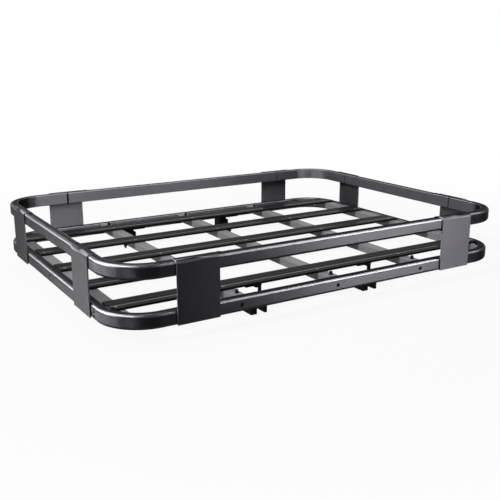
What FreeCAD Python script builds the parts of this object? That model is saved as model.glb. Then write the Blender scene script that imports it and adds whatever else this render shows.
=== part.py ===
import FreeCAD, Part
import math
import os

# Roof basket: two rail loops joined by side plates, a slatted floor, crossbars and mounting feet.
# +X along the long side, +Y towards the back, +Z up; the feet stand on z = 0.

# overall size
length = 1400.0
width = 1060.0
railLoopHeight = 172.0
footDrop = 40.0  # from the rails' underside down to the soles of the feet

# rail extrusion, a hollow bar with a wide rounding on its outer edges
cornerRadius = 130.0
railThickness = 26.0
topRailHeight = 40.0
bottomRailHeight = 41.0
railWall = 2.5
railOuterRound = 8.0
railInnerRound = 2.0
jointFromEnd = 233.0  # where a straight rail meets a corner, behind a side plate
jointGap = 3.0  # left open there, bridged by the plate

# side plates
plateWidth = 126.0
plateThickness = 4.0
plateEdgeBevel = 0.8

# floor slats, flat hollow extrusions with grooves along the top
slatCount = 5
slatWidth = 72.0
slatThickness = 7.0
slatWall = 1.8
slatCells = 4
slatEdgeBevel = 1.0
slatGrooveCount = 3
slatGrooveWidth = 3.0
slatGrooveDepth = 0.7
slatLift = 38.0  # from the rails' underside to the slats' underside
outerSlatGap = 57.0  # from the outer slats to the front and back rails

# crossbars, rectangular tubes that the slats rest on
crossbarCount = 5
crossbarWidth = 38.0
crossbarHeight = 25.0
crossbarWall = 2.5

# mounting feet, brackets under the outer slats
footStations = (-0.75, 0.5)  # left and right, in crossbar pitches from the middle
footWidth = 54.0
footThickLeg = 20.0
footThinLeg = 9.0
backFootLeg = 30.0  # the back feet have one wide leg with a toe at its side
backFootToe = 10.0
backFootToeHeight = 50.0
footLegDepth = 45.0
footOverhang = 28.0  # past the slat's outer edge
footBridge = 6.0
footHole = 9.0

# derived
halfLength = length / 2
halfWidth = width / 2
bottomZ = footDrop
topZ = footDrop + railLoopHeight
innerX = halfLength - railThickness
innerY = halfWidth - railThickness
slatBottomZ = bottomZ + slatLift
outerSlatY = innerY - outerSlatGap - slatWidth / 2
slatPitch = 2 * outerSlatY / (slatCount - 1)
endCrossbarX = innerX - crossbarWidth / 2
crossbarPitch = 2 * endCrossbarX / (crossbarCount - 1)
bridgeLowZ = slatBottomZ - footBridge

small = 0.01

os.makedirs("parts", exist_ok=True)


def vec(x, y, z):
    return FreeCAD.Vector(x, y, z)


def save(shape, name):
    shape.exportStep("parts/" + name + ".step")


def box(x0, x1, y0, y1, z0, z1):
    return Part.makeBox(x1 - x0, y1 - y0, z1 - z0, vec(x0, y0, z0))


def polygonFace(outlines):
    # the first outline is the outside, the others are hollows
    wires = []
    for points in outlines:
        wires.append(Part.makePolygon(points + [points[0]]))
    return Part.Face(wires)


def roundPoints(y, z, radius, startAngle, facets):
    # a quarter turn in the YZ plane as a few flats; a sharp corner where there is no radius
    if radius < small:
        return [vec(0, y, z)]
    points = []
    for i in range(facets + 1):
        angle = math.radians(startAngle + 90.0 * i / facets)
        points.append(vec(0, y + radius * math.cos(angle), z + radius * math.sin(angle)))
    return points


def railOutline(height, inset, facets):
    # outer face of the rail towards y = 0, inner face towards y = railThickness
    outer = max(railOuterRound - inset, 0)
    inner = max(railInnerRound - inset, 0)
    near = inset + outer
    far = railThickness - inset - inner
    points = roundPoints(near, inset + outer, outer, 180, facets)
    points += roundPoints(far, inset + inner, inner, 270, 1)
    points += roundPoints(far, height - inset - inner, inner, 0, 1)
    points += roundPoints(near, height - inset - outer, outer, 90, facets)
    return points


def railFace(height):
    return polygonFace([railOutline(height, 0, 2), railOutline(height, railWall, 1)])


def straightRail(height, z, span):
    # centred on x = 0 with its outer face on y = 0
    face = railFace(height)
    face.translate(vec(-span / 2, 0, z))
    return face.extrude(vec(span, 0, 0))


def cornerRail(height, z):
    # front left corner: two short legs and a quarter bend, hollow all through
    leg = jointFromEnd - cornerRadius - jointGap / 2
    face = railFace(height)
    face.translate(vec(-halfLength + cornerRadius, -halfWidth, z))
    centre = vec(-halfLength + cornerRadius, -halfWidth + cornerRadius, z)
    bend = face.revolve(centre, vec(0, 0, 1), -90)
    frontLeg = face.extrude(vec(leg, 0, 0))
    turned = face.copy()
    turned.rotate(centre, vec(0, 0, 1), -90)
    sideLeg = turned.extrude(vec(0, leg, 0))
    return bend.fuse([frontLeg, sideLeg]).removeSplitter()


def mirrored(shape, flipX, flipY):
    out = shape.copy()
    if flipX:
        out = out.mirror(vec(0, 0, 0), vec(1, 0, 0))
    if flipY:
        out = out.mirror(vec(0, 0, 0), vec(0, 1, 0))
    return out


def saveFour(shape, pattern):
    # the front left piece and its three mirror images
    for side, flipX in (("left", False), ("right", True)):
        for end, flipY in (("front", False), ("back", True)):
            save(mirrored(shape, flipX, flipY), pattern.format(end=end, side=side))


def railLoop(height, z, name):
    front = straightRail(height, z, length - 2 * jointFromEnd - jointGap)
    front.translate(vec(0, -halfWidth, 0))
    save(front, name + "_rail_front")
    save(mirrored(front, False, True), name + "_rail_back")
    left = straightRail(height, z, width - 2 * jointFromEnd - jointGap)
    left.rotate(vec(0, 0, 0), vec(0, 0, 1), -90)
    left.translate(vec(-halfLength, 0, 0))
    save(left, name + "_rail_left")
    save(mirrored(left, True, False), name + "_rail_right")
    saveFour(cornerRail(height, z), name + "_corner_{end}_{side}")


def sidePlate():
    # one flat sheet down both rails, its top folded over the upper rail along the same rounding
    lipEnd = railThickness - railInnerRound
    foldZ = topZ - railOuterRound
    inside = [vec(0, 0, bottomZ)]
    inside += reversed(roundPoints(railOuterRound, foldZ, railOuterRound, 90, 2))
    inside.append(vec(0, lipEnd, topZ))
    outside = [vec(0, lipEnd, topZ + plateThickness)]
    outside += roundPoints(railOuterRound, foldZ, railOuterRound + plateThickness, 90, 4)
    outside.append(vec(0, -plateThickness, bottomZ))
    sheet = polygonFace([inside + outside])
    sheet.translate(vec(-plateWidth / 2, 0, 0))
    sheet = sheet.extrude(vec(plateWidth, 0, 0))
    uprights = [e for e in sheet.Edges
                if abs(e.CenterOfMass.y + plateThickness) < small and e.Vertexes[0].X == e.Vertexes[1].X]
    return sheet.makeChamfer(plateEdgeBevel, uprights)


def sidePlates():
    front = sidePlate()
    front.translate(vec(-halfLength + jointFromEnd, -halfWidth, 0))
    saveFour(front, "plate_{end}_{side}")
    left = sidePlate()
    left.rotate(vec(0, 0, 0), vec(0, 0, 1), -90)
    left.translate(vec(-halfLength, -halfWidth + jointFromEnd, 0))
    saveFour(left, "plate_{side}_{end}")


def floorWell():
    # the room inside the lower rail loop, which slats and crossbars are trimmed to
    well = box(-innerX, innerX, -innerY, innerY, 0, topZ)
    upright = [e for e in well.Edges if abs(e.Length - topZ) < small]
    return well.makeFillet(cornerRadius - railThickness, upright)


def slatOutline():
    # half width to each side of y = 0, underside on z = 0
    half = slatWidth / 2
    low = slatThickness - slatGrooveDepth
    spacing = slatWidth / (slatGrooveCount + 1)
    points = [vec(0, -half, 0), vec(0, -half, slatThickness - slatEdgeBevel)]
    points.append(vec(0, -half + slatEdgeBevel, slatThickness))
    for i in range(slatGrooveCount):
        y = -half + (i + 1) * spacing
        for y1, z1 in ((-1, slatThickness), (-1, low), (1, low), (1, slatThickness)):
            points.append(vec(0, y + y1 * slatGrooveWidth / 2, z1))
    points.append(vec(0, half - slatEdgeBevel, slatThickness))
    points += [vec(0, half, slatThickness - slatEdgeBevel), vec(0, half, 0)]
    return points


def slatHollows():
    # cells between the ribs that stiffen the extrusion
    cellWidth = (slatWidth - (slatCells + 1) * slatWall) / slatCells
    high = slatThickness - slatWall
    cells = []
    for i in range(slatCells):
        y0 = -slatWidth / 2 + slatWall + i * (cellWidth + slatWall)
        y1 = y0 + cellWidth
        cells.append([vec(0, y0, slatWall), vec(0, y1, slatWall), vec(0, y1, high), vec(0, y0, high)])
    return cells


def slat(y):
    face = polygonFace([slatOutline()] + slatHollows())
    face.translate(vec(-innerX, y, slatBottomZ))
    return face.extrude(vec(2 * innerX, 0, 0))


def crossbar(x):
    half = crossbarWidth / 2
    low = slatBottomZ - crossbarHeight
    bar = box(x - half, x + half, -innerY, innerY, low, slatBottomZ)
    bore = box(x - half + crossbarWall, x + half - crossbarWall, -innerY, innerY,
               low + crossbarWall, slatBottomZ - crossbarWall)
    return bar.cut(bore)


def footBracket(x, legs, holeBetween):
    # a bridge under the outer front slat, on legs down to the roof bar, with a bolt hole beside them
    # legs are (start, end, top) and holeBetween is (start, end), measured from the bracket's left side
    slatFront = -outerSlatY - slatWidth / 2
    front = slatFront - footOverhang
    back = front + footLegDepth
    left = x - footWidth / 2
    foot = box(left, left + footWidth, front, slatFront + slatWidth, bridgeLowZ, slatBottomZ)
    for start, end, top in legs:
        foot = foot.fuse(box(left + start, left + end, front, back, 0, top))
    holeCentre = vec(left + sum(holeBetween) / 2, (front + back) / 2, 0)
    return foot.removeSplitter().cut(Part.makeCylinder(footHole / 2, slatBottomZ, holeCentre))


def frontFoot(x):
    gap = (footThickLeg, footWidth - footThinLeg)
    return footBracket(x, [(0, gap[0], bridgeLowZ), (gap[1], footWidth, bridgeLowZ)], gap)


def backFoot(x):
    toeEnd = backFootLeg + backFootToe
    foot = footBracket(x, [(0, backFootLeg, bridgeLowZ), (0, toeEnd, backFootToeHeight)], (toeEnd, footWidth))
    return mirrored(foot, False, True)


railLoop(topRailHeight, topZ - topRailHeight, "top")
railLoop(bottomRailHeight, bottomZ, "bottom")
sidePlates()

well = floorWell()
for i in range(slatCount):
    y = outerSlatY - i * slatPitch
    save(slat(y).common(well), "floor_slat_" + str(i + 1))

for i in range(crossbarCount):
    x = -endCrossbarX + i * crossbarPitch
    save(crossbar(x).common(well), "crossbar_" + str(i + 1))

for side, station in zip(("left", "right"), footStations):
    save(frontFoot(station * crossbarPitch), "mounting_foot_front_" + side)
    save(backFoot(station * crossbarPitch), "mounting_foot_back_" + side)
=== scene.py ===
import bpy
import bmesh
import math
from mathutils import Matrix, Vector
from mathutils.geometry import tessellate_polygon


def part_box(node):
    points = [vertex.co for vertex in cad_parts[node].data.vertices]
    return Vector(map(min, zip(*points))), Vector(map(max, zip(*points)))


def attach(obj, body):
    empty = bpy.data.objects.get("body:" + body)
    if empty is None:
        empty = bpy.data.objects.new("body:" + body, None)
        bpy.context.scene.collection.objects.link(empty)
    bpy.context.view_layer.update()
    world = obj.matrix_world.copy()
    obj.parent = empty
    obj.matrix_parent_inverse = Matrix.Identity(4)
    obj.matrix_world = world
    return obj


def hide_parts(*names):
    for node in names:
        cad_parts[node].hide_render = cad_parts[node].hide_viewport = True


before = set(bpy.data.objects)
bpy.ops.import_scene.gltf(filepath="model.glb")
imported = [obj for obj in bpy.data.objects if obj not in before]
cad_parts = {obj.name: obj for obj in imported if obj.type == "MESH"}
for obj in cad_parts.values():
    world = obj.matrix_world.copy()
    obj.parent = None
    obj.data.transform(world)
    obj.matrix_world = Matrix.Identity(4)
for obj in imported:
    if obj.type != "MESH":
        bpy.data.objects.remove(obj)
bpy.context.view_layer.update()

# sizes read from the solids, in metres
railFrontLow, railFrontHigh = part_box("top_rail_front")
lowerFrontLow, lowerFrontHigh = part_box("bottom_rail_front")
cornerLow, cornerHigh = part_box("top_corner_front_left")
plateLow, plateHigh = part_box("plate_front_left")

basket = {
    "halfLength": -cornerLow.x,
    "halfWidth": -cornerLow.y,
    # from the basket's end to a joint, which lies behind a plate
    "joint": (cornerHigh.x + railFrontLow.x) / 2 - cornerLow.x,
    "jointGap": railFrontLow.x - cornerHigh.x,
    "railThickness": railFrontHigh.y - railFrontLow.y,
    "topRail": (railFrontLow.z, railFrontHigh.z),
    "bottomRail": (lowerFrontLow.z, lowerFrontHigh.z),
    "plateWidth": plateHigh.x - plateLow.x,
    "plateThickness": plateHigh.z - railFrontHigh.z,
    "slats": [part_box("floor_slat_" + str(i)) for i in range(1, 6)],
    "bars": [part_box("crossbar_" + str(i)) for i in range(1, 6)],
}


# the coated pieces in two sets, each lit by softboxes of its own

nearRails = bpy.data.collections.new("nearRails")  # front and left, seen from outside
farRails = bpy.data.collections.new("farRails")  # back and right, seen from inside

nearSides = {
    # as shares of half the basket's width or length, from its middle
    "front": 0.6,  # a piece of the front lies at least this far forward
    "frontEnd": 0.8,  # and no farther to the right than this
    "left": 0.85,
    "leftEnd": 0.65,
}


def railSetOf(mesh):
    wide, deep = basket["halfLength"], basket["halfWidth"]
    centre = sum((v.co for v in mesh.vertices), Vector()) / len(mesh.vertices)
    onFront = centre.y < -nearSides["front"] * deep and centre.x < nearSides["frontEnd"] * wide
    onLeft = centre.x < -nearSides["left"] * wide and centre.y < nearSides["leftEnd"] * deep
    return nearRails if onFront or onLeft else farRails


# small helpers

sharpAngle = math.radians(32)  # faces that meet at more than this keep a hard edge
bevelAngle = math.radians(50)  # and where they meet at more than this, bevelEdges rounds the edge
tolerance = 1e-6  # two heights or widths closer than this, in metres, count as one


def addObject(name, mesh, materials, slot, node=None):
    piece = bpy.data.objects.new(name, mesh)
    bpy.context.scene.collection.objects.link(piece)
    for material in materials:
        mesh.materials.append(material)
    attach(piece, "root")
    if node:
        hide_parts(node)
    if slot == "rail_coating":
        railSetOf(mesh).objects.link(piece)
    return piece


def meshFrom(name, verts, faces, faceMaterials=None):
    mesh = bpy.data.meshes.new(name)
    mesh.from_pydata(verts, [], faces)
    for i, face in enumerate(mesh.polygons):
        face.use_smooth = True
        if faceMaterials:
            face.material_index = faceMaterials[i]
    work = bmesh.new()
    work.from_mesh(mesh)
    bmesh.ops.recalc_face_normals(work, faces=work.faces)
    for edge in work.edges:
        if len(edge.link_faces) == 2 and edge.calc_face_angle() > sharpAngle:
            edge.smooth = False
    work.to_mesh(mesh)
    work.free()
    return mesh


def weighNormals(piece):
    weigh = piece.modifiers.new("weighNormals", "WEIGHTED_NORMAL")
    weigh.keep_sharp = True


def bevelEdges(piece, width, segments=3):
    bevel = piece.modifiers.new("softEdges", "BEVEL")
    bevel.width = width
    bevel.segments = segments
    bevel.limit_method = "ANGLE"
    bevel.angle_limit = bevelAngle
    weighNormals(piece)


def arcPoints(u, z, radius, start, steps):
    # a quarter turn round (u, z), counterclockwise from the start angle in degrees
    points = []
    for i in range(steps + 1):
        turn = math.radians(start + 90.0 * i / steps)
        points.append((u + radius * math.cos(turn), z + radius * math.sin(turn)))
    return points


# shader node groups and materials

coatNoise = {"peelDetail": 2.0, "driftScale": 7.0, "driftDetail": 3.0}
millNoise = {"streakDetail": 4.0, "blotchDetail": 5.0, "blotchRoughness": 0.7}
bumpDistance = 0.0001  # metres


def newGroup(name, inputs, outputs):
    tree = bpy.data.node_groups.new(name, "ShaderNodeTree")
    for label, kind, value in inputs:
        socket = tree.interface.new_socket(name=label, in_out="INPUT", socket_type=kind)
        socket.default_value = value
    for label, kind in outputs:
        tree.interface.new_socket(name=label, in_out="OUTPUT", socket_type=kind)
    return tree, tree.nodes.new("NodeGroupInput"), tree.nodes.new("NodeGroupOutput")


def addNode(tree, kind, **settings):
    node = tree.nodes.new(kind)
    for key, value in settings.items():
        setattr(node, key, value)
    return node


def makeCoatGrain():
    # fine orange peel of a sprayed coat, and slow drifts of tone and gloss over it
    tree, inside, out = newGroup("coatGrain", [
        ("Color", "NodeSocketColor", (0.03, 0.03, 0.03, 1)),
        ("Tone Drift", "NodeSocketFloat", 0.15),
        ("Roughness", "NodeSocketFloat", 0.4),
        ("Gloss Drift", "NodeSocketFloat", 0.05),
        ("Peel Scale", "NodeSocketFloat", 900.0),
    ], [
        ("Color", "NodeSocketColor"),
        ("Roughness", "NodeSocketFloat"),
        ("Height", "NodeSocketFloat"),
    ])
    link = tree.links.new
    place = addNode(tree, "ShaderNodeTexCoord")
    peel = addNode(tree, "ShaderNodeTexNoise")
    peel.inputs["Detail"].default_value = coatNoise["peelDetail"]
    link(place.outputs["Object"], peel.inputs["Vector"])
    link(inside.outputs["Peel Scale"], peel.inputs["Scale"])
    drift = addNode(tree, "ShaderNodeTexNoise")
    drift.inputs["Scale"].default_value = coatNoise["driftScale"]
    drift.inputs["Detail"].default_value = coatNoise["driftDetail"]
    link(place.outputs["Object"], drift.inputs["Vector"])
    centred = addNode(tree, "ShaderNodeMath", operation="SUBTRACT")
    centred.inputs[1].default_value = 0.5  # the noise's middle
    link(drift.outputs["Fac"], centred.inputs[0])
    tone = addNode(tree, "ShaderNodeMath", operation="MULTIPLY_ADD")
    tone.inputs[2].default_value = 1.0
    link(centred.outputs[0], tone.inputs[0])
    link(inside.outputs["Tone Drift"], tone.inputs[1])
    shade = addNode(tree, "ShaderNodeVectorMath", operation="SCALE")
    link(inside.outputs["Color"], shade.inputs[0])
    link(tone.outputs[0], shade.inputs["Scale"])
    gloss = addNode(tree, "ShaderNodeMath", operation="MULTIPLY_ADD")
    link(centred.outputs[0], gloss.inputs[0])
    link(inside.outputs["Gloss Drift"], gloss.inputs[1])
    link(inside.outputs["Roughness"], gloss.inputs[2])
    link(shade.outputs[0], out.inputs["Color"])
    link(gloss.outputs[0], out.inputs["Roughness"])
    link(peel.outputs["Fac"], out.inputs["Height"])
    return tree


def makeMillMottle():
    # blotches of a blasted bar with faint streaks along it
    tree, inside, out = newGroup("millMottle", [
        ("Along X", "NodeSocketFloat", 1.0),
        ("Along Y", "NodeSocketFloat", 1.0),
        ("Streak Scale", "NodeSocketFloat", 300.0),
        ("Blotch Scale", "NodeSocketFloat", 120.0),
        ("Streak Share", "NodeSocketFloat", 0.4),
    ], [("Mottle", "NodeSocketFloat")])
    link = tree.links.new
    place = addNode(tree, "ShaderNodeTexCoord")
    stretch = addNode(tree, "ShaderNodeCombineXYZ")
    stretch.inputs["Z"].default_value = 1.0
    link(inside.outputs["Along X"], stretch.inputs["X"])
    link(inside.outputs["Along Y"], stretch.inputs["Y"])
    scaled = addNode(tree, "ShaderNodeVectorMath", operation="MULTIPLY")
    link(place.outputs["Object"], scaled.inputs[0])
    link(stretch.outputs[0], scaled.inputs[1])
    streak = addNode(tree, "ShaderNodeTexNoise")
    streak.inputs["Detail"].default_value = millNoise["streakDetail"]
    link(scaled.outputs[0], streak.inputs["Vector"])
    link(inside.outputs["Streak Scale"], streak.inputs["Scale"])
    blotch = addNode(tree, "ShaderNodeTexNoise")
    blotch.inputs["Detail"].default_value = millNoise["blotchDetail"]
    blotch.inputs["Roughness"].default_value = millNoise["blotchRoughness"]
    link(place.outputs["Object"], blotch.inputs["Vector"])
    link(inside.outputs["Blotch Scale"], blotch.inputs["Scale"])
    mixed = addNode(tree, "ShaderNodeMix", data_type="FLOAT")
    link(inside.outputs["Streak Share"], mixed.inputs["Factor"])
    link(blotch.outputs["Fac"], mixed.inputs["A"])
    link(streak.outputs["Fac"], mixed.inputs["B"])
    link(mixed.outputs["Result"], out.inputs["Mottle"])
    return tree


coatGrain = makeCoatGrain()
millMottle = makeMillMottle()


def brushLevel(tree, shader, look):
    # satin that spreads a highlight up and down much more than sideways
    shader.inputs["Anisotropic"].default_value = look["spread"]
    shader.inputs["Anisotropic Rotation"].default_value = 0.25  # of a turn
    tangent = addNode(tree, "ShaderNodeTangent", direction_type="RADIAL", axis="Z")
    tree.links.new(tangent.outputs["Tangent"], shader.inputs["Tangent"])


def coatMaterial(name, look):
    material = bpy.data.materials.new(name)
    material.use_nodes = True
    tree = material.node_tree
    link = tree.links.new
    shader = tree.nodes["Principled BSDF"]
    shader.inputs["Specular IOR Level"].default_value = look["specular"]
    shader.inputs["Metallic"].default_value = look.get("metallic", 0.0)
    edge = look.get("edge", 1.0)  # below 1 keeps the gloss from rising at glancing angles
    shader.inputs["Specular Tint"].default_value = (edge, edge, edge, 1)
    grain = addNode(tree, "ShaderNodeGroup", node_tree=coatGrain)
    grain.inputs["Color"].default_value = (*look["color"], 1)
    grain.inputs["Tone Drift"].default_value = look["toneDrift"]
    grain.inputs["Roughness"].default_value = look["roughness"]
    grain.inputs["Gloss Drift"].default_value = look["glossDrift"]
    grain.inputs["Peel Scale"].default_value = look["peelScale"]
    bump = addNode(tree, "ShaderNodeBump")
    bump.inputs["Strength"].default_value = look["peel"]
    bump.inputs["Distance"].default_value = bumpDistance
    link(grain.outputs["Color"], shader.inputs["Base Color"])
    link(grain.outputs["Roughness"], shader.inputs["Roughness"])
    link(grain.outputs["Height"], bump.inputs["Height"])
    link(bump.outputs["Normal"], shader.inputs["Normal"])
    if look.get("spread"):
        brushLevel(tree, shader, look)
    return material


coats = {
    "railSatin": {"color": (0.0165, 0.0160, 0.0178), "specular": 0.0, "metallic": 0.3, "edge": 0.62,
                  "roughness": 0.36, "spread": 1.0, "toneDrift": 0.2, "glossDrift": 0.03,
                  "peel": 0.08, "peelScale": 900.0},
    # a lighter, glossier copy of the rail coat for the roundings, a painted highlight
    "railRoundPaintedSheen": {"color": (0.026, 0.0253, 0.0275), "specular": 0.0, "metallic": 0.45, "edge": 0.5,
                  "roughness": 0.30, "toneDrift": 0.2, "glossDrift": 0.03,
                  "peel": 0.02, "peelScale": 900.0},
    # a darker, matt copy of the rail coat for the flats, a painted shade
    "railTopPaintedShade": {"color": (0.008, 0.0078, 0.0082), "specular": 0.0, "metallic": 0.13, "edge": 0.5,
                "roughness": 0.5, "toneDrift": 0.2, "glossDrift": 0.05,
                "peel": 0.04, "peelScale": 900.0},
    # a lighter copy of the rail coat for the plates' cut ends, a painted highlight
    "plateRimPaintedHighlight": {"color": (0.080, 0.078, 0.083), "specular": 0.0, "metallic": 0.3, "edge": 0.6,
                 "roughness": 0.45, "toneDrift": 0.2, "glossDrift": 0.05,
                 "peel": 0.05, "peelScale": 900.0},
    "slatSatin": {"color": (0.0205, 0.0201, 0.0214), "specular": 0.03,
                  "roughness": 0.5, "toneDrift": 0.35, "glossDrift": 0.05,
                  "peel": 0.1, "peelScale": 700.0},
    # a lighter, glossier copy of the slat coat, a painted highlight along the front groove
    "slatLipPaintedHighlight": {"color": (0.035, 0.0345, 0.036), "specular": 0.6,
                "roughness": 0.22, "toneDrift": 0.6, "glossDrift": 0.05,
                "peel": 0.05, "peelScale": 700.0},
    "bracketMatt": {"color": (0.004, 0.004, 0.004), "specular": 0.05,
                    "roughness": 0.6, "toneDrift": 0.3, "glossDrift": 0.05,
                    "peel": 0.4, "peelScale": 500.0},
    # near-black without gloss, painted shade in the joint gaps
    "jointPaintedShade": {"color": (0.002, 0.002, 0.002), "specular": 0.0,
                   "roughness": 0.7, "toneDrift": 0.1, "glossDrift": 0.05,
                   "peel": 0.1, "peelScale": 900.0},
    "screwBlack": {"color": (0.004, 0.004, 0.0045), "specular": 0.25,
                   "roughness": 0.35, "toneDrift": 0.1, "glossDrift": 0.05,
                   "peel": 0.1, "peelScale": 900.0},
    "screwDark": {"color": (0.0015, 0.0015, 0.0015), "specular": 0.06,
                  "roughness": 0.3, "toneDrift": 0.1, "glossDrift": 0.05,
                  "peel": 0.1, "peelScale": 900.0},
    "screwZinc": {"color": (0.24, 0.235, 0.245), "specular": 0.5, "metallic": 0.6,
                  "roughness": 0.35, "toneDrift": 0.15, "glossDrift": 0.08,
                  "peel": 0.1, "peelScale": 900.0},
}
finish = {name: coatMaterial(name, look) for name, look in coats.items()}


def millAluminium(name, look):
    material = bpy.data.materials.new(name)
    material.use_nodes = True
    tree = material.node_tree
    link = tree.links.new
    shader = tree.nodes["Principled BSDF"]
    shader.inputs["Metallic"].default_value = look["metallic"]
    shader.inputs["Specular IOR Level"].default_value = look["specular"]
    mottle = addNode(tree, "ShaderNodeGroup", node_tree=millMottle)
    mottle.inputs["Along X"].default_value = look["stretchX"]
    mottle.inputs["Along Y"].default_value = look["stretchY"]
    mottle.inputs["Streak Scale"].default_value = look["streakScale"]
    mottle.inputs["Blotch Scale"].default_value = look["blotchScale"]
    mottle.inputs["Streak Share"].default_value = look["streakShare"]
    tone = addNode(tree, "ShaderNodeValToRGB")
    for stop, position, color in zip(tone.color_ramp.elements, look["toneRange"], look["tones"]):
        stop.position = position
        stop.color = (*color, 1)
    rough = addNode(tree, "ShaderNodeMapRange")
    rough.inputs["To Min"].default_value, rough.inputs["To Max"].default_value = look["roughness"]
    bump = addNode(tree, "ShaderNodeBump")
    bump.inputs["Strength"].default_value = look["bump"]
    bump.inputs["Distance"].default_value = bumpDistance
    link(mottle.outputs["Mottle"], tone.inputs["Fac"])
    link(mottle.outputs["Mottle"], rough.inputs["Value"])
    link(mottle.outputs["Mottle"], bump.inputs["Height"])
    link(tone.outputs["Color"], shader.inputs["Base Color"])
    link(rough.outputs["Result"], shader.inputs["Roughness"])
    link(bump.outputs["Normal"], shader.inputs["Normal"])
    return material


barLook = {
    "metallic": 0.15,
    "specular": 0.1,
    "stretchX": 1.0,
    "stretchY": 0.04,  # the streaks run along Y
    "streakScale": 260.0,
    "blotchScale": 170.0,
    "streakShare": 0.35,
    "tones": ((0.21, 0.205, 0.215), (0.40, 0.39, 0.41)),
    "toneRange": (0.36, 0.64),  # where the mottle has the dark and the light tone
    "roughness": (0.4, 0.6),
    "bump": 0.25,
}
finish["barAluminium"] = millAluminium("barAluminium", barLook)
print("materials ready:", len(finish))


# rails, swept round the loop with the same section as the solids

rail = {
    "cornerRadius": 0.130,
    "outerRound": 0.008,
    "innerRound": 0.002,
    "outerSteps": 6,
    "innerSteps": 3,
    "bendSteps": 28,
    "sleeveInset": 0.0026,  # from the rail's outside in to the sleeve in a joint
    "shadowRingAt": "topSleeveLeftBackLong",  # the one joint with a painted shadow ring round the rail
    "shadowRingReach": 0.0030,  # half the painted shadow ring's width along the rail
    "shadowRingOut": 0.0003,  # and how far it stands out from the rail
}


def railProfile(low, high):
    # points as (distance in from the outer face, height)
    outer = rail["outerRound"]
    inner = rail["innerRound"]
    far = basket["railThickness"] - inner
    points = arcPoints(outer, low + outer, outer, 180, rail["outerSteps"])
    points += arcPoints(far, low + inner, inner, 270, rail["innerSteps"])
    points += arcPoints(far, high - inner, inner, 0, rail["innerSteps"])
    points += arcPoints(outer, high - outer, outer, 90, rail["outerSteps"])
    return points


def firstFinish(a, b):
    return 0


def sweepSection(name, points, stations, sideMaterial=firstFinish, endMaterial=0):
    # stations are (x, y, inward x, inward y); the section stands upright at each
    # sideMaterial says which finish the strip between two of its points takes
    verts = []
    for x, y, inX, inY in stations:
        for u, z in points:
            verts.append((x + inX * u, y + inY * u, z))
    count = len(points)
    faces = []
    marks = []
    for s in range(len(stations) - 1):
        for i in range(count):
            j = (i + 1) % count
            faces.append((s * count + i, s * count + j, (s + 1) * count + j, (s + 1) * count + i))
            marks.append(sideMaterial(points[i], points[j]))
    faces.append(tuple(range(count)))
    faces.append(tuple(reversed(range((len(stations) - 1) * count, len(stations) * count))))
    marks += [endMaterial, endMaterial]
    return meshFrom(name, verts, faces, marks)


def railSide(a, b):
    # upright faces are satin; flats that face up or down are matt and painted darker, a painted
    # shade; roundings are a little glossier and painted lighter, a painted highlight
    if abs(a[0] - b[0]) < tolerance:
        return 0
    return 1 if abs(a[1] - b[1]) < tolerance else 2


def straightStations(side):
    wide, deep = basket["halfLength"], basket["halfWidth"]
    reach = wide if side in ("front", "back") else deep
    end = reach - basket["joint"] - basket["jointGap"] / 2
    if side == "front":
        return [(-end, -deep, 0, 1), (end, -deep, 0, 1)]
    if side == "back":
        return [(end, deep, 0, -1), (-end, deep, 0, -1)]
    if side == "left":
        return [(-wide, end, 1, 0), (-wide, -end, 1, 0)]
    return [(wide, -end, -1, 0), (wide, end, -1, 0)]


def cornerStations(signX, signY):
    # from the joint on the long side round the bend to the joint on the short side
    wide, deep, radius = basket["halfLength"], basket["halfWidth"], rail["cornerRadius"]
    leg = basket["joint"] - basket["jointGap"] / 2
    centreX, centreY = wide - radius, deep - radius
    stations = [(signX * (wide - leg), signY * deep, 0, -signY)]
    for i in range(rail["bendSteps"] + 1):
        turn = math.radians(90.0 * i / rail["bendSteps"])
        outX, outY = math.sin(turn), math.cos(turn)
        stations.append((signX * (centreX + radius * outX), signY * (centreY + radius * outY),
                         -signX * outX, -signY * outY))
    stations.append((signX * wide, signY * (deep - leg), -signX, 0))
    return stations


def jointStations(way, signX, signY, half):
    # a short piece across the joint, on the basket's long or short side
    wide, deep = basket["halfLength"], basket["halfWidth"]
    x, y = signX * (wide - basket["joint"]), signY * (deep - basket["joint"])
    if way == "Long":
        return [(x - half, signY * deep, 0, -signY), (x + half, signY * deep, 0, -signY)]
    return [(signX * wide, y - half, -signX, 0), (signX * wide, y + half, -signX, 0)]


def insetProfile(points, inset):
    # the same outline, drawn in towards its middle, or out where the inset is negative
    middleU = basket["railThickness"] / 2
    middleZ = sum(z for u, z in points) / len(points)
    return [(u + inset * math.copysign(1, middleU - u), z + inset * math.copysign(1, middleZ - z))
            for u, z in points]


def addSleeve(name, points, stations):
    mesh = sweepSection(name, points, stations)
    addObject(name, mesh, [finish["jointPaintedShade"]], "rail_coating")


def buildSleeves():
    # the sleeves that show in the gaps between the straight rails and the corners, near-black as
    # painted shade of the gaps, and one near-black ring round the rail at a joint, a painted shadow
    # line
    half = basket["jointGap"] / 2
    for loop in ("top", "bottom"):
        outline = railProfile(*basket[loop + "Rail"])
        sleeve = insetProfile(outline, rail["sleeveInset"])
        shadowRing = insetProfile(outline, -rail["shadowRingOut"])
        for side, signX in (("Left", -1), ("Right", 1)):
            for end, signY in (("Front", -1), ("Back", 1)):
                for way in ("Long", "Short"):
                    name = loop + "Sleeve" + side + end + way
                    addSleeve(name, sleeve, jointStations(way, signX, signY, half))
                    if name == rail["shadowRingAt"]:
                        around = jointStations(way, signX, signY, rail["shadowRingReach"])
                        addSleeve(loop + "ShadowRing", shadowRing, around)


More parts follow.
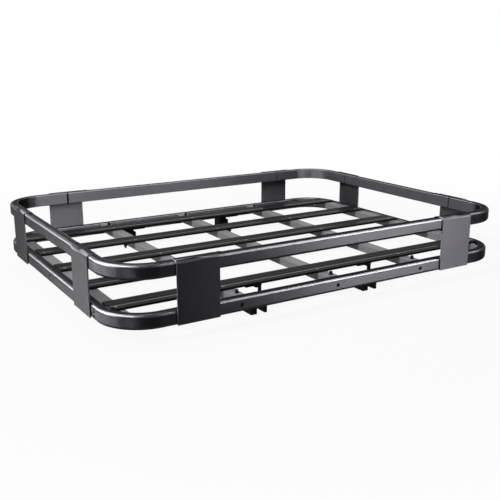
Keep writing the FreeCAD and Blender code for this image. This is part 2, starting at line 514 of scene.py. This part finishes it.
def buildRails():
    coat = [finish["railSatin"], finish["railTopPaintedShade"], finish["railRoundPaintedSheen"]]
    for loop in ("top", "bottom"):
        points = railProfile(*basket[loop + "Rail"])
        for side in ("front", "back", "left", "right"):
            name = loop + "Rail" + side.capitalize()
            mesh = sweepSection(name, points, straightStations(side), railSide)
            weighNormals(addObject(name, mesh, coat, "rail_coating", loop + "_rail_" + side))
        for end, signY in (("front", -1), ("back", 1)):
            for side, signX in (("left", -1), ("right", 1)):
                name = loop + "Corner" + end.capitalize() + side.capitalize()
                node = loop + "_corner_" + end + "_" + side
                mesh = sweepSection(name, points, cornerStations(signX, signY), railSide)
                weighNormals(addObject(name, mesh, coat, "rail_coating", node))
    buildSleeves()
    print("rails ready")


buildRails()


# side plates, folded over the upper rail

plate = {
    "foldThickness": 0.002,  # on top of the rail; the sheet thins towards it round the bend
    "edgeRound": 0.0008,
    "foldSteps": 8,
}


def plateProfile():
    # (distance in from the rail's outer face, height), round the sheet's thickness
    thick = basket["plateThickness"]
    radius = rail["outerRound"]
    fold, steps = plate["foldThickness"], plate["foldSteps"]
    low = basket["bottomRail"][0]
    top = basket["topRail"][1]
    lipEnd = basket["railThickness"] - rail["innerRound"]
    inside = [(0, low)] + list(reversed(arcPoints(radius, top - radius, radius, 90, steps)))
    inside.append((lipEnd, top))
    outside = [(lipEnd, top + fold)]
    for i in range(steps + 1):
        turn = math.radians(90 + 90 * i / steps)
        reach = radius + fold + (thick - fold) * i / steps
        outside.append((radius + reach * math.cos(turn), top - radius + reach * math.sin(turn)))
    outside.append((-thick, low))
    return inside + outside


def plateSide(a, b):
    # the fold's upper face takes the rails' darker matt top coat, a painted shade, the rest satin
    level = abs(a[1] - b[1]) < tolerance and a[1] > basket["topRail"][1]
    return 1 if level else 0


def buildPlates():
    coat = [finish["railSatin"], finish["railTopPaintedShade"], finish["plateRimPaintedHighlight"]]
    points = plateProfile()
    half = basket["plateWidth"] / 2
    for end, signY in (("front", -1), ("back", 1)):
        for side, signX in (("left", -1), ("right", 1)):
            for way, first, second in (("Long", end, side), ("Short", side, end)):
                name = "plate" + first.capitalize() + second.capitalize()
                node = "plate_" + first + "_" + second
                stations = jointStations(way, signX, signY, half)
                # the cut ends take the lighter coat, a painted highlight on the edges
                mesh = sweepSection(name, points, stations, plateSide, endMaterial=2)  # plateRimPaintedHighlight
                piece = addObject(name, mesh, coat, "rail_coating", node)
                bevelEdges(piece, plate["edgeRound"])
    print("plates ready")


buildPlates()


# floor slats and crossbars, cut at their ends to the inside of the lower loop

slat = {
    "grooveCount": 3,
    "grooveWidth": 0.003,
    "grooveDepth": 0.0007,
    "paintedHighlightWidth": 0.0045,  # width of the painted highlight, a lighter and glossier strip behind the front groove
    "edgeRound": 0.00036,
    "edgeSteps": 2,
}
crossbar = {"edgeRound": 0.0012}


def wellReach(offset, across, along):
    # half the length that a bar has at this offset from the middle of the well
    radius = rail["cornerRadius"] - basket["railThickness"]
    past = abs(offset) - (across - radius)
    if past <= 0:
        return along
    return along - radius + math.sqrt(max(radius * radius - past * past, 0.0))


def barMesh(name, points, alongX, sideMaterial=firstFinish):
    # a closed bar through both ends of the well; points are (offset across, height)
    innerX = basket["halfLength"] - basket["railThickness"]
    innerY = basket["halfWidth"] - basket["railThickness"]
    verts = []
    for sign in (-1, 1):
        for v, z in points:
            if alongX:
                verts.append((sign * wellReach(v, innerY, innerX), v, z))
            else:
                verts.append((v, sign * wellReach(v, innerX, innerY), z))
    count = len(points)
    faces = []
    marks = []
    for i in range(count):
        j = (i + 1) % count
        faces.append((i, j, count + j, count + i))
        marks.append(sideMaterial(points[i], points[j]))
    faces.append(tuple(range(count)))
    faces.append(tuple(reversed(range(count, 2 * count))))
    return meshFrom(name, verts, faces, marks + [0, 0])


def slatProfile(low, high):
    width = high.y - low.y
    floor = high.z - slat["grooveDepth"]
    points = [(low.y, low.z), (low.y, high.z)]
    for i in range(slat["grooveCount"]):
        y = low.y + width * (i + 1) / (slat["grooveCount"] + 1)
        left, right = y - slat["grooveWidth"] / 2, y + slat["grooveWidth"] / 2
        points += [(left, high.z), (left, floor), (right, floor), (right, high.z)]
        if i == 0:
            points.append((right + slat["paintedHighlightWidth"], high.z))  # where the painted highlight strip ends
    points += [(high.y, high.z), (high.y, low.z)]
    return points


def slatSide(a, b):
    # the painted highlight strip behind the front groove is known by its width
    isPaintedHighlight = abs(a[1] - b[1]) < tolerance and abs(b[0] - a[0] - slat["paintedHighlightWidth"]) < tolerance
    return 1 if isPaintedHighlight else 0


def buildFloor():
    coat = [finish["slatSatin"], finish["slatLipPaintedHighlight"]]
    for i, (low, high) in enumerate(basket["slats"], start=1):
        name = "floorSlat" + str(i)
        mesh = barMesh(name, slatProfile(low, high), True, slatSide)
        piece = addObject(name, mesh, coat, "slat_coating", "floor_slat_" + str(i))
        bevelEdges(piece, slat["edgeRound"], slat["edgeSteps"])
    bare = [finish["barAluminium"]]
    for i, (low, high) in enumerate(basket["bars"], start=1):
        name = "crossbar" + str(i)
        points = [(low.x, low.z), (low.x, high.z), (high.x, high.z), (high.x, low.z)]
        mesh = barMesh(name, points, False)
        piece = addObject(name, mesh, bare, "bare_aluminium", "crossbar_" + str(i))
        bevelEdges(piece, crossbar["edgeRound"])
    print("floor ready")


buildFloor()


# mounting feet, brackets that reach down from under the outer slats

foot = {
    "frontPlate": 0.004,  # thickness of the plate under the slat
    "backPlate": 0.006,
    "slatEdge": 0.029,  # from the foot's outer side to the front plate's edge
    "legDepth": 0.045,
    "thickLeg": 0.020,
    "thinLeg": 0.009,
    "legTop": (0.0665, 0.0488),  # a slope, at the outer and the inner side
    "web": 0.031,  # from the outer side to the upright part of the thin leg
    "webLow": 0.030,
    "webSheet": 0.004,
    "tieDepth": (0.010, 0.040),  # the piece between the front legs, from the outer side
    "tieHeight": (0.036, 0.046),
    "overlap": 0.002,  # of the tie with the legs, and of the toe with the back leg
    "backLeg": 0.030,
    "toe": 0.010,
    "toeHeight": 0.050,
    "holeRadius": 0.0045,
    "holeSides": 24,
    "rim": 0.0035,  # of the front plate's tongue round the bolt hole
    "edgeRound": 0.0008,
    "edgeSteps": 2,
}


def flatSolid(outline, low, high, place, hole=()):
    # a closed piece of even thickness; place turns (a, b, depth) into a point
    rings = [list(outline), list(hole)] if hole else [list(outline)]
    points = [p for ring in rings for p in ring]
    count = len(points)
    verts = [place(a, b, depth) for depth in (low, high) for a, b in points]
    faces = []
    for i, j, k in tessellate_polygon([[Vector((a, b, 0)) for a, b in ring] for ring in rings]):
        faces += [(i, j, k), (count + k, count + j, count + i)]
    first = 0
    for ring in rings:
        for i in range(len(ring)):
            a, b = first + i, first + (i + 1) % len(ring)
            faces.append((a, b, count + b, count + a))
        first += len(ring)
    return verts, faces


def joinSolids(solids):
    verts, faces = [], []
    for solidVerts, solidFaces in solids:
        first = len(verts)
        verts += solidVerts
        faces += [tuple(first + i for i in face) for face in solidFaces]
    return verts, faces


def oblong(a, b):
    # the corners of a rectangle from its two ranges
    return [(a[0], b[0]), (a[1], b[0]), (a[1], b[1]), (a[0], b[1])]


def holeRing(a, b):
    radius = foot["holeRadius"]
    turns = [2 * math.pi * i / foot["holeSides"] for i in range(foot["holeSides"])]
    return [(a + radius * math.cos(turn), b + radius * math.sin(turn)) for turn in turns]


def frontFoot(width, reach, top):
    # legs are (outline, start, end) with outlines in (from the outer side, height)
    # start, end and the plate's first value are measured from the foot's left side
    outer, inner = foot["legTop"]
    deep, web, over = foot["legDepth"], foot["web"], foot["overlap"]
    gap = (foot["thickLeg"], width - foot["thinLeg"])
    slope = [(0, 0), (deep, 0), (deep, inner), (0, outer)]
    under = top - foot["frontPlate"] / 2
    legs = [(slope, 0, gap[0]),
            (slope, gap[1], width),
            (oblong((web, deep), (foot["webLow"], under)), width - foot["webSheet"], width),
            (oblong(foot["tieDepth"], foot["tieHeight"]), gap[0] - over, gap[1] + over)]
    middle, centre = sum(gap) / 2, deep / 2
    half, edge = foot["holeRadius"] + foot["rim"], foot["slatEdge"]
    plateOutline = [(0, edge), (middle - half, edge), (middle - half, centre - half),
                    (middle + half, centre - half), (middle + half, edge), (width, edge),
                    (width, reach), (0, reach)]
    return legs, plateOutline, holeRing(middle, centre), top - foot["frontPlate"]


def backFoot(width, reach, top):
    deep, leg = foot["legDepth"], foot["backLeg"]
    toeEnd = leg + foot["toe"]
    under = top - foot["backPlate"] / 2
    legs = [(oblong((0, deep), (0, under)), 0, leg),
            (oblong((0, deep), (0, foot["toeHeight"])), leg - foot["overlap"], toeEnd)]
    hole = holeRing((toeEnd + width) / 2, deep / 2)
    return legs, oblong((0, width), (0, reach)), hole, top - foot["backPlate"]


def buildFeet():
    for end, sign, shape in (("front", -1, frontFoot), ("back", 1, backFoot)):
        for side in ("left", "right"):
            node = "mounting_foot_" + end + "_" + side
            low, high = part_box(node)
            outer = max(abs(low.y), abs(high.y))
            legs, plateOutline, hole, underside = shape(high.x - low.x, high.y - low.y, high.z)
            parts = []
            for outline, start, stop in legs:
                parts.append(flatSolid(outline, start, stop,
                                       lambda d, z, x: (low.x + x, sign * (outer - d), z)))
            parts.append(flatSolid(plateOutline, underside, high.z,
                                   lambda x, d, z: (low.x + x, sign * (outer - d), z), hole))
            name = "foot" + end.capitalize() + side.capitalize()
            mesh = meshFrom(name, *joinSolids(parts))
            piece = addObject(name, mesh, [finish["bracketMatt"]], "black_bracket", node)
            bevelEdges(piece, foot["edgeRound"], foot["edgeSteps"])
    print("feet ready")


buildFeet()


# screws, bolts, nuts and caps, turned about their own axis

headShapes = {
    # rings as (share of the radius, share of the height, six-sided or not), from the base up
    "button": [(1.0, 0.0, False), (1.0, 0.3, False), (0.88, 0.72, False), (0.62, 1.0, False),
               (0.42, 1.0, True), (0.40, 0.4, True)],
    "hex": [(1.35, 0.0, False), (1.35, 0.16, False), (1.0, 0.16, True), (1.0, 0.86, True),
            (0.86, 1.0, False)],
    "cap": [(1.0, 0.0, False), (1.0, 0.35, False), (0.86, 0.72, False), (0.5, 0.95, False),
            (0.2, 1.0, False)],
    "stud": [(1.0, 0.0, True), (1.0, 0.55, True), (0.62, 0.55, False), (0.62, 0.93, False),
             (0.5, 1.0, False)],
}
headSides = 24

fasteners = {
    "slatScrews": {"shape": "button", "radius": 0.0044, "height": 0.0018,
                   "finish": "screwZinc", "slot": "bare_aluminium",
                   # from where a slat crosses a bar, to the right and to the back
                   "fromCrossing": (-0.011, -0.021), "atFirstBar": -0.003},
    "railScrews": {"shape": "button", "radius": 0.0056, "height": 0.0015,
                   "finish": "screwDark", "slot": "black_bracket",
                   "heights": {"long": 0.021, "short": 0.024}, "fromBar": -0.007},
    "endBarScrews": {"shape": "button", "radius": 0.0040, "height": 0.0014,
                     "finish": "screwDark", "slot": "black_bracket",
                     "across": 0.381, "heights": (0.0125, 0.0247)},
    "barBolts": {"shape": "hex", "radius": 0.0052, "height": 0.0098,
                 "finish": "screwBlack", "slot": "black_bracket",
                 "fromBar": 0.006, "fromRail": 0.026},
    "plateCaps": {"shape": "cap", "radius": 0.0078, "height": 0.0036,
                  "finish": "screwDark", "slot": "black_bracket",
                  "pastPlate": 0.0075, "in": 0.017},
    "slotNuts": {"shape": "stud", "radius": 0.0062, "height": 0.015,
                 "finish": "screwBlack", "slot": "black_bracket",
                 "places": [(-0.378, 0.180), (0.039, 0.180)]},
}


def hexReach(turn):
    # how far out the side of a hexagon lies, as a share of its corners' distance
    return math.cos(math.pi / 6) / math.cos(turn % (math.pi / 3) - math.pi / 6)


def headPoints(look):
    rings = []
    for share, rise, hexagon in headShapes[look["shape"]]:
        ring = []
        for i in range(headSides):
            turn = 2 * math.pi * i / headSides
            radius = share * look["radius"] * (hexReach(turn) if hexagon else 1)
            height = rise * look["height"]
            ring.append(Vector((radius * math.cos(turn), radius * math.sin(turn), height)))
        rings.append(ring)
    return rings


def addHeads(name, places):
    # places are (point, direction that the head looks in)
    look = fasteners[name]
    rings = headPoints(look)
    verts, faces = [], []
    for point, direction in places:
        turn = Vector((0, 0, 1)).rotation_difference(Vector(direction))
        first = len(verts)
        for ring in rings:
            verts += [Vector(point) + turn @ p for p in ring]
        for r in range(len(rings) - 1):
            for i in range(headSides):
                j = (i + 1) % headSides
                a, b = first + r * headSides, first + (r + 1) * headSides
                faces.append((a + i, a + j, b + j, b + i))
        last = first + (len(rings) - 1) * headSides
        faces.append(tuple(reversed(range(first, first + headSides))))
        faces.append(tuple(range(last, last + headSides)))
    addObject(name, meshFrom(name, verts, faces), [finish[look["finish"]]], look["slot"])


def buildFasteners():
    wide, deep, low = basket["halfLength"], basket["halfWidth"], basket["bottomRail"][0]
    bars = [(a.x + b.x) / 2 for a, b in basket["bars"]]
    slats = [((a.y + b.y) / 2, b.z) for a, b in basket["slats"]]
    look = fasteners["slatScrews"]
    right, back = look["fromCrossing"]
    places = []
    for i, x in enumerate(bars):
        shift = look["atFirstBar"] if i == 0 else right
        places += [((x + shift, y + back, top), (0, 0, 1)) for y, top in slats]
    addHeads("slatScrews", places)

    look = fasteners["railScrews"]
    heights = look["heights"]
    places = [((x + look["fromBar"], sign * deep, low + heights["long"]), (0, sign, 0))
              for x in bars[1:-1] for sign in (-1, 1)]
    places += [((sign * wide, 0, low + heights["short"]), (sign, 0, 0)) for sign in (-1, 1)]
    addHeads("railScrews", places)

    look = fasteners["endBarScrews"]
    places = [((signX * wide, signY * look["across"], low + height), (signX, 0, 0))
              for signX in (-1, 1) for signY in (-1, 1) for height in look["heights"]]
    addHeads("endBarScrews", places)

    look = fasteners["barBolts"]
    y, top = deep - basket["railThickness"] - look["fromRail"], basket["bars"][0][1].z
    places = [((x + look["fromBar"], sign * y, top), (0, 0, 1))
              for x in bars[1:-1] for sign in (-1, 1)]
    addHeads("barBolts", places)

    look = fasteners["plateCaps"]
    past = basket["joint"] + basket["plateWidth"] / 2 + look["pastPlate"]
    top = basket["topRail"][1]
    places = []
    for signX in (-1, 1):
        for signY in (-1, 1):
            places.append(((signX * (wide - past), signY * (deep - look["in"]), top), (0, 0, 1)))
            places.append(((signX * (wide - look["in"]), signY * (deep - past), top), (0, 0, 1)))
    addHeads("plateCaps", places)

    look = fasteners["slotNuts"]
    under = basket["slats"][0][0].z
    addHeads("slotNuts", [((x, y, under), (0, 0, -1)) for x, y in look["places"]])
    print("fasteners ready")


buildFasteners()


# camera, lights and the white surroundings

camera = {
    "place": (-1.3097, -2.1474, 0.6883),  # above the underside of the rails
    "tilt": 74.757,
    "turn": -31.708,
    "lens": 53.18,
    "sensor": 36.0,
    "clip": (0.05, 60.0),
}


def buildCamera():
    data = bpy.data.cameras.new("camera")
    data.lens = camera["lens"]
    data.sensor_width = camera["sensor"]
    data.clip_start, data.clip_end = camera["clip"]
    eye = bpy.data.objects.new("camera", data)
    x, y, z = camera["place"]
    eye.location = (x, y, z + basket["bottomRail"][0])
    eye.rotation_euler = (math.radians(camera["tilt"]), 0, math.radians(camera["turn"]))
    bpy.context.scene.collection.objects.link(eye)
    bpy.context.scene.camera = eye


studio = {
    "distance": 8.0,
    "aim": (0.0, 0.0, 0.12),
    # bearing clockwise from the back, height above the floor, width and height, all in degrees
    "plain": [  # light on everything, not seen in the gloss
        {"name": "overhead", "bearing": 20, "height": 78, "size": (40, 30), "radiance": 1.2},
        {"name": "key", "bearing": 268, "height": 38, "size": (12, 12), "radiance": 40.0},
    ],
    # softboxes seen only in the gloss of the near rails
    "near": [
        {"name": "rightFront", "bearing": 138, "height": 18, "size": (17, 30), "radiance": 168.0},
        {"name": "left", "bearing": 275, "height": 18, "size": (28, 30), "radiance": 65.0},
        {"name": "leftBack", "bearing": 301, "height": 18, "size": (30, 30), "radiance": 110.0},
        {"name": "leftEdge", "bearing": 325, "height": 18, "size": (14, 30), "radiance": 190.0},
        {"name": "backLow", "bearing": 15, "height": 9, "size": (14, 10), "radiance": 18.0},
        {"name": "highRight", "bearing": 120, "height": 48, "size": (22, 28), "radiance": 75.0},
        {"name": "highLeft", "bearing": 276, "height": 56, "size": (66, 24), "radiance": 115.0},
        {"name": "highBack", "bearing": 345, "height": 48, "size": (50, 28), "radiance": 45.0},
    ],
    # and of the far rails
    "far": [
        {"name": "farFront", "bearing": 158, "height": 18, "size": (24, 30), "radiance": 62.0},
        {"name": "farMiddle", "bearing": 190, "height": 18, "size": (42, 30), "radiance": 52.0},
        {"name": "farSide", "bearing": 247, "height": 18, "size": (56, 30), "radiance": 72.0},
        {"name": "farLeft", "bearing": 307, "height": 18, "size": (63, 30), "radiance": 35.0},
        {"name": "farHighFront", "bearing": 135, "height": 48, "size": (52, 28), "radiance": 68.0},
        {"name": "farHighMiddle", "bearing": 195, "height": 48, "size": (52, 28), "radiance": 65.0},
        {"name": "farHigh", "bearing": 255, "height": 48, "size": (52, 28), "radiance": 70.0},
        {"name": "farHighLeft", "bearing": 315, "height": 48, "size": (52, 28), "radiance": 65.0},
        {"name": "farBack", "bearing": 20, "height": 18, "size": (21, 30), "radiance": 4.0},
    ],
}


def addLamp(look, railSet=None):
    # a rectangular softbox, either for plain light or seen only in the gloss of a set of rails
    bearing, height = math.radians(look["bearing"]), math.radians(look["height"])
    away = Vector((math.sin(bearing) * math.cos(height), math.cos(bearing) * math.cos(height),
                   math.sin(height)))
    data = bpy.data.lights.new(look["name"], "AREA")
    data.shape = "RECTANGLE"
    data.size, data.size_y = [2 * studio["distance"] * math.tan(math.radians(angle) / 2)
                              for angle in look["size"]]
    data.energy = look["radiance"] * math.pi * data.size * data.size_y
    lamp = bpy.data.objects.new(look["name"], data)
    lamp.location = Vector(studio["aim"]) + away * studio["distance"]
    lamp.rotation_euler = (-away).to_track_quat("-Z", "Y").to_euler()
    lamp.visible_camera = False
    lamp.visible_glossy = railSet is not None
    lamp.visible_diffuse = railSet is None
    lamp.light_linking.receiver_collection = railSet
    bpy.context.scene.collection.objects.link(lamp)


def buildLights():
    for look in studio["plain"]:
        addLamp(look)
    for look in studio["near"]:
        addLamp(look, nearRails)
    for look in studio["far"]:
        addLamp(look, farRails)


surround = {
    "ambient": 0.22,  # strength of the white world as light, where it shows at 1
    "floorColor": 0.85,
    "floorBounce": 0.3,  # the floor throws less light back up than it shows
    "floorGlow": 0.92,  # share of plain white that it shows in the middle
    "fade": (1.0, 2.2),  # and between these distances that share rises to 1
    "floorSize": 60.0,
    "floorGap": 0.0003,  # from the floor up to the feet
}


def seenDirectly(tree):
    # 1 for rays from the camera and through or off the object's gloss, 0 for light on the object
    paths = addNode(tree, "ShaderNodeLightPath")
    first = addNode(tree, "ShaderNodeMath", operation="MAXIMUM")
    second = addNode(tree, "ShaderNodeMath", operation="MAXIMUM")
    tree.links.new(paths.outputs["Is Camera Ray"], first.inputs[0])
    tree.links.new(paths.outputs["Is Glossy Ray"], first.inputs[1])
    tree.links.new(first.outputs[0], second.inputs[0])
    tree.links.new(paths.outputs["Is Transmission Ray"], second.inputs[1])
    return second.outputs[0]


def buildWorld():
    world = bpy.data.worlds.new("studio")
    bpy.context.scene.world = world
    world.use_nodes = True
    tree = world.node_tree
    background = tree.nodes["Background"]
    background.inputs["Color"].default_value = (1, 1, 1, 1)
    strength = addNode(tree, "ShaderNodeMapRange")
    strength.inputs["To Min"].default_value = surround["ambient"]
    strength.inputs["To Max"].default_value = 1.0
    tree.links.new(seenDirectly(tree), strength.inputs["Value"])
    tree.links.new(strength.outputs["Result"], background.inputs["Strength"])


def floorMaterial():
    material = bpy.data.materials.new("whiteFloor")
    material.use_nodes = True
    tree = material.node_tree
    link = tree.links.new
    tree.nodes.remove(tree.nodes["Principled BSDF"])
    paint = addNode(tree, "ShaderNodeBsdfDiffuse")
    paths = addNode(tree, "ShaderNodeLightPath")
    tone = addNode(tree, "ShaderNodeMapRange")
    tone.inputs["To Min"].default_value = surround["floorColor"]
    tone.inputs["To Max"].default_value = surround["floorBounce"]
    link(paths.outputs["Is Diffuse Ray"], tone.inputs["Value"])
    link(tone.outputs["Result"], paint.inputs["Color"])
    glow = addNode(tree, "ShaderNodeEmission")
    place = addNode(tree, "ShaderNodeTexCoord")
    reach = addNode(tree, "ShaderNodeVectorMath", operation="LENGTH")
    fade = addNode(tree, "ShaderNodeMapRange", interpolation_type="SMOOTHSTEP")
    fade.inputs["From Min"].default_value, fade.inputs["From Max"].default_value = surround["fade"]
    fade.inputs["To Min"].default_value = surround["floorGlow"]
    fade.inputs["To Max"].default_value = 1.0
    link(place.outputs["Object"], reach.inputs[0])
    link(reach.outputs["Value"], fade.inputs["Value"])
    share = addNode(tree, "ShaderNodeMath", operation="MULTIPLY")
    link(seenDirectly(tree), share.inputs[0])
    link(fade.outputs["Result"], share.inputs[1])
    mix = addNode(tree, "ShaderNodeMixShader")
    link(share.outputs[0], mix.inputs["Fac"])
    link(paint.outputs[0], mix.inputs[1])
    link(glow.outputs[0], mix.inputs[2])
    side = addNode(tree, "ShaderNodeNewGeometry")
    clear = addNode(tree, "ShaderNodeBsdfTransparent")
    seeThrough = addNode(tree, "ShaderNodeMixShader")  # from below the floor isn't there
    link(side.outputs["Backfacing"], seeThrough.inputs["Fac"])
    link(mix.outputs[0], seeThrough.inputs[1])
    link(clear.outputs[0], seeThrough.inputs[2])
    link(seeThrough.outputs[0], tree.nodes["Material Output"].inputs["Surface"])
    return material


def buildWhiteFloor():
    half, level = surround["floorSize"] / 2, -surround["floorGap"]
    corners = [(-half, -half, level), (half, -half, level),
               (half, half, level), (-half, half, level)]
    mesh = bpy.data.meshes.new("floor")
    mesh.from_pydata(corners, [], [(0, 1, 2, 3)])
    mesh.materials.append(floorMaterial())
    floor = bpy.data.objects.new("floor", mesh)
    bpy.context.scene.collection.objects.link(floor)


buildCamera()
buildLights()
buildWorld()
buildWhiteFloor()
bpy.context.scene.view_settings.view_transform = "Standard"
print("camera and lights ready")
